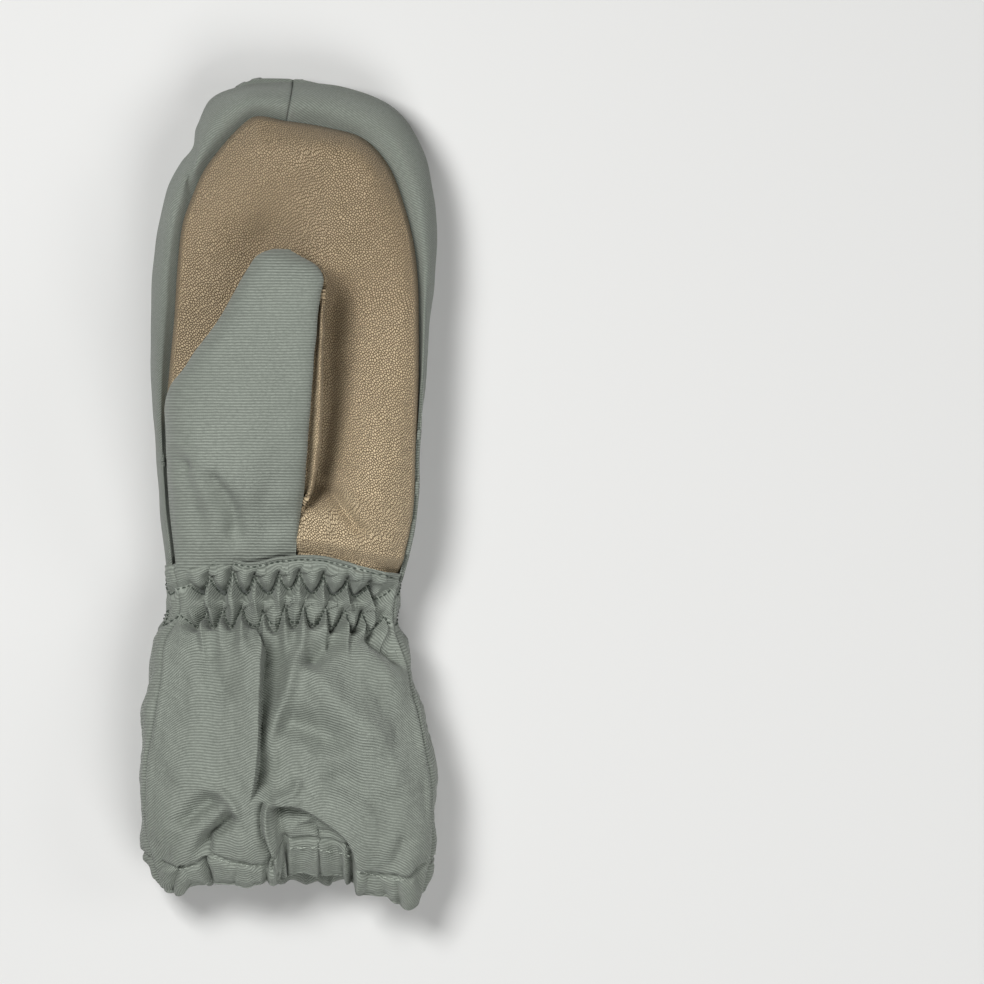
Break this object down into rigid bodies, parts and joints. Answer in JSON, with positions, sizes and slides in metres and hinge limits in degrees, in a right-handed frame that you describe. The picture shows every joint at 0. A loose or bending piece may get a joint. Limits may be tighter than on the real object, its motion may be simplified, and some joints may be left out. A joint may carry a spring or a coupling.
{
  "type": "padded ski mitten",
  "caption": "Child's padded left ski mitten with a leather palm, side gussets, a thumb folded over the palm, a gathered wrist and a long cuff with an elasticated hem.",
  "frame": {"origin": "on the resting surface, under the middle of the length and width", "axes": "+Y to the fingertips, +Z out of the palm, -X the thumb side of the palm; it lies on its back"},
  "size_m": [0.0862, 0.24, 0.0554],
  "materials": {
    "shell_fabric": "ribbed woven, matt",
    "gusset_fabric": "fine diagonal twill, matt",
    "palm_leather": "pebbled synthetic leather, low sheen",
    "wadding": "soft polyester wadding",
    "lining_fleece": "short-pile fleece",
    "elastic": "woven elastic band",
    "thread": "spun sewing thread"
  },
  "bodies": {
    "hand": {"back_panel": "shell_fabric", "thumb_side_gusset": "gusset_fabric", "little_side_gusset": "gusset_fabric", "palm_panel": "palm_leather", "back_wadding": "wadding", "palm_wadding": "wadding", "back_lining": "lining_fleece", "palm_lining": "lining_fleece", "thumb_root_panel": "shell_fabric", "thumb_root_wadding": "wadding", "thumb_root_lining": "lining_fleece"},
    "thumb": {"thumb_outer_panel": "shell_fabric", "thumb_leather_panel": "palm_leather", "thumb_outer_wadding": "wadding", "thumb_palm_wadding": "wadding", "thumb_lining": "lining_fleece"},
    "cuff": {"cuff_palm_panel": "shell_fabric", "cuff_back_panel": "shell_fabric", "cuff_palm_lining": "lining_fleece", "cuff_back_lining": "lining_fleece", "wrist_elastic": "elastic", "hem_elastic": "elastic", "wrist_seam_thread": "thread", "wrist_upper_thread": "thread", "wrist_lower_thread": "thread", "hem_thread": "thread"}
  },
  "joints": [
    {"name": "wrist_flex", "type": "hinge", "parent": "hand", "child": "cuff", "pos_m": [-0.0012, -0.033, 0.0175], "axis": [1, 0, 0], "range_deg": [-40, 40]},
    {"name": "thumb_lift", "type": "hinge", "parent": "hand", "child": "thumb", "pos_m": [-0.01345, 0.0085, 0.0449], "axis": [0.9743, -0.2254, 0], "range_deg": [0, 50]}
  ]
}
